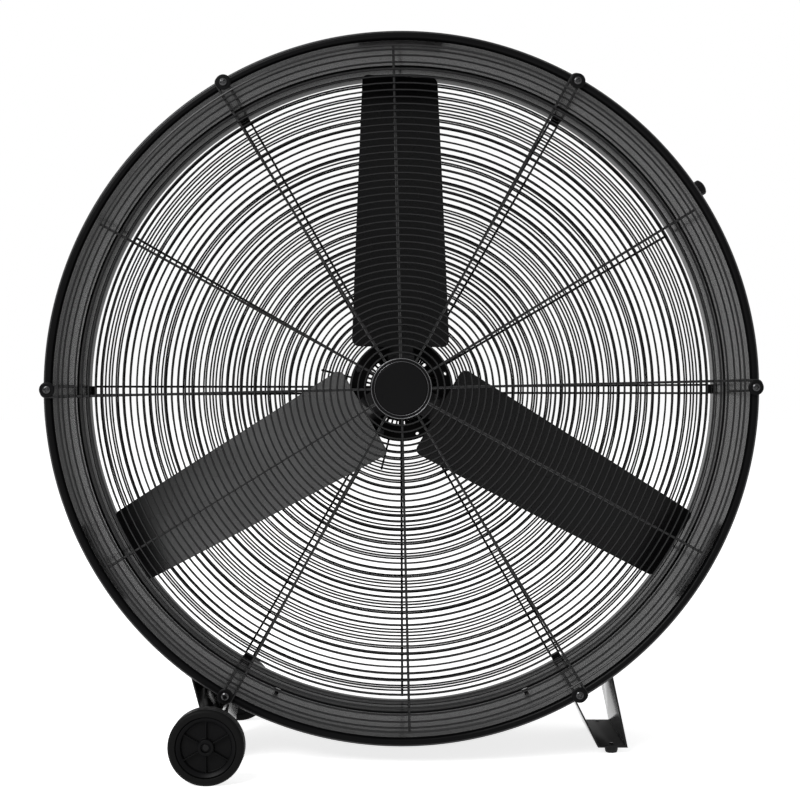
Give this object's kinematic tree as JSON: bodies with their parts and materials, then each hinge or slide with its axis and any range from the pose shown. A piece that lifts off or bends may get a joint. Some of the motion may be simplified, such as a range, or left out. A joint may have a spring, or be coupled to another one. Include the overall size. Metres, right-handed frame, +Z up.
{
  "type": "drum fan",
  "caption": "Direct drive drum fan: rolled steel drum with wire grilles, pitched sheet blades on a motor, control knob, wheels on one side and rubber feet on the other.",
  "frame": {"origin": "on the floor under the fan axis, midway between the outer faces of the two wheels", "axes": "X to the right seen from the front, Y from the front to the rear along the fan axis, Z up"},
  "size_m": [0.994, 0.5, 1.0082],
  "materials": {
    "drum": "satin black powder coat on rolled steel sheet",
    "wire": "black powder coated steel wire",
    "badge": "plain moulded black badge disc",
    "steel": "dark zinc plated screws, nuts and axle",
    "black_plastic": "moulded black plastic",
    "blade": "satin black painted sheet blades",
    "motor_black": "black painted motor shells",
    "core_steel": "stacked steel laminations",
    "bright_steel": "ground bright steel",
    "box": "black painted sheet box",
    "strap": "satin black coated strap",
    "tyre": "black tread ring",
    "foot_rubber": "black rubber foot"
  },
  "bodies": {
    "root": {"drum_shell": "drum", "front_grille": "wire", "rear_grille": "wire", "grille_badge": "badge", "grille_screw_1": "steel", "grille_screw_2": "steel", "grille_screw_3": "steel", "grille_screw_4": "steel", "grille_screw_5": "steel", "grille_screw_6": "steel", "motor_bolt_1": "steel", "motor_bolt_2": "steel", "motor_bolt_3": "steel", "motor_bolt_4": "steel", "bracket_bolt_left": "steel", "bracket_bolt_right": "steel", "foot_screw_front": "steel", "foot_screw_rear": "steel", "axle": "steel", "grille_washer_1": "black_plastic", "grille_washer_2": "black_plastic", "grille_washer_3": "black_plastic", "grille_washer_4": "black_plastic", "grille_washer_5": "black_plastic", "grille_washer_6": "black_plastic", "badge_clamp": "black_plastic", "rotary_switch": "black_plastic", "run_capacitor": "black_plastic", "cable_gland": "black_plastic", "motor_bell_front": "motor_black", "motor_can": "motor_black", "motor_bell_rear": "motor_black", "motor_bracket": "motor_black", "stator_core": "core_steel", "bearing_front": "bright_steel", "bearing_rear": "bright_steel", "front_wheel_clip": "bright_steel", "rear_wheel_clip": "bright_steel", "control_box": "box", "control_box_cover": "box", "wheel_bracket": "strap", "foot_bracket": "strap", "axle_tube": "strap", "foot_front": "foot_rubber", "foot_rear": "foot_rubber"},
    "rotor": {"rotor_shaft": "bright_steel", "rotor_core": "core_steel", "blade_hub": "motor_black", "shaft_nut": "steel", "blade_1": "blade", "blade_2": "blade", "blade_3": "blade", "blade_bolt_1": "steel", "blade_bolt_2": "steel", "blade_bolt_3": "steel"},
    "front_wheel": {"front_wheel_rim": "black_plastic", "front_tyre": "tyre"},
    "rear_wheel": {"rear_wheel_rim": "black_plastic", "rear_tyre": "tyre"},
    "control_knob": {"knob": "black_plastic"}
  },
  "joints": [
    {"name": "rotor_spin", "type": "hinge", "parent": "root", "child": "rotor", "pos_m": [0, 0.035, 0.517], "axis": [0, 1, 0], "continuous": true},
    {"name": "front_wheel_spin", "type": "hinge", "parent": "root", "child": "front_wheel", "pos_m": [-0.254, -0.235, 0.05], "axis": [0, 1, 0], "continuous": true},
    {"name": "rear_wheel_spin", "type": "hinge", "parent": "root", "child": "rear_wheel", "pos_m": [-0.254, 0.235, 0.05], "axis": [0, 1, 0], "continuous": true},
    {"name": "knob_turn", "type": "hinge", "parent": "root", "child": "control_knob", "pos_m": [0.41983, 0.025, 0.80017], "axis": [0.829, 0, 0.5592], "range_deg": [0, 120]}
  ]
}
